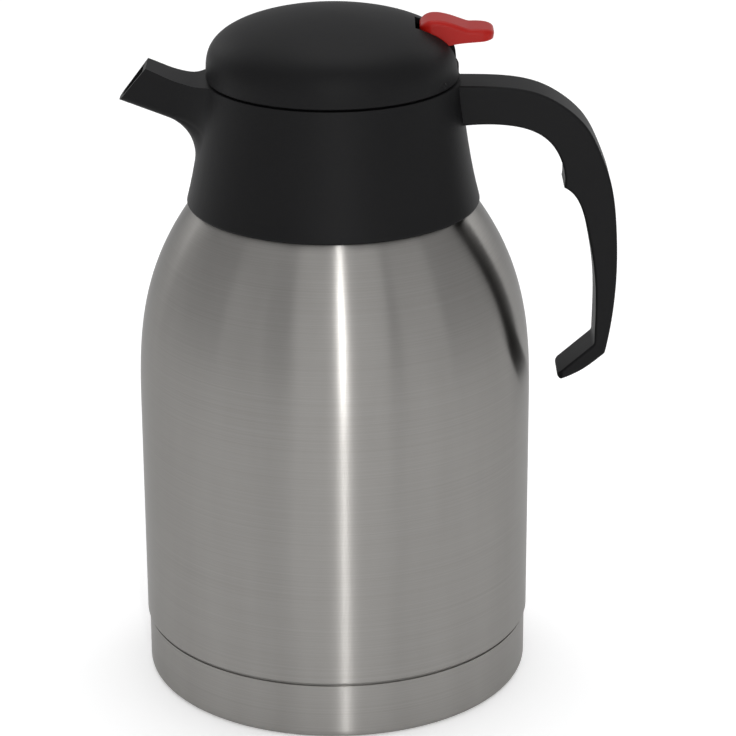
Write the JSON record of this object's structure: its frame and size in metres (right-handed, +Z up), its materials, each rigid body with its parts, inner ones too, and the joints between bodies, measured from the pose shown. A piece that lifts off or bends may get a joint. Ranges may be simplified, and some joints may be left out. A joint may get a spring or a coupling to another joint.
{
  "type": "thermal carafe",
  "caption": "Round double-walled steel carafe with a moulded pouring collar, hanging handle, twist-off domed lid and a thumb lever that lifts a spring-closed pouring valve.",
  "frame": {"origin": "centre of the ring that the carafe stands on, on the axis of its body", "axes": "+Z up along the body's axis, +X towards the handle, -X towards the spout"},
  "size_m": [0.1804, 0.145, 0.2545],
  "materials": {
    "brushed_steel": "brushed round the body, satin",
    "vessel_steel": "drawn, bright satin",
    "seal_metal": "dull solidified bead",
    "getter_metal": "matt sintered",
    "silicone": "translucent white, satin",
    "black_plastic": "matt moulded, fine grain",
    "inner_plastic": "smooth moulded",
    "red_plastic": "matt moulded",
    "screw_steel": "bright"
  },
  "bodies": {
    "flask": {"outer_shell": "brushed_steel", "inner_vessel": "vessel_steel", "bottom_disc": "vessel_steel", "evacuation_seal": "seal_metal", "getter": "getter_metal", "base_cup": "brushed_steel", "neck_seal": "silicone", "pour_collar": "black_plastic", "handle": "black_plastic"},
    "carrier": {"stopper_gasket": "silicone"},
    "lid": {"lid_dome": "black_plastic", "stopper_body": "inner_plastic", "spring_cap": "inner_plastic", "cap_screws": "screw_steel", "stem_seal": "silicone", "lever_pin": "screw_steel"},
    "thumb_lever": {"lever": "red_plastic"},
    "valve": {"valve_stem": "inner_plastic", "valve_plug": "inner_plastic", "valve_seal": "silicone", "stem_clip": "screw_steel", "cross_pin": "screw_steel", "valve_spring": "screw_steel"}
  },
  "joints": [
    {"name": "lid_lift", "type": "slide", "parent": "flask", "child": "carrier", "axis": [0, 0, 1], "range_m": [0, 0.06]},
    {"name": "lid_turn", "type": "hinge", "parent": "carrier", "child": "lid", "pos_m": [0, 0, 0.2], "axis": [0, 0, 1], "range_deg": [0, 90]},
    {"name": "lever_press", "type": "hinge", "parent": "lid", "child": "thumb_lever", "pos_m": [0.036, 0, 0.242], "axis": [0, 1, 0], "range_deg": [0, 12]},
    {"name": "valve_lift", "type": "slide", "parent": "lid", "child": "valve", "axis": [0, 0, 1], "range_m": [0, 0.00759], "stiffness_N_per_m": 780, "springref_m": -0.005, "deforming": ["valve_spring"]}
  ],
  "couplings": [
    {"joint": "lever_press", "follows": "valve_lift", "rad_per_m": 27.586}
  ]
}
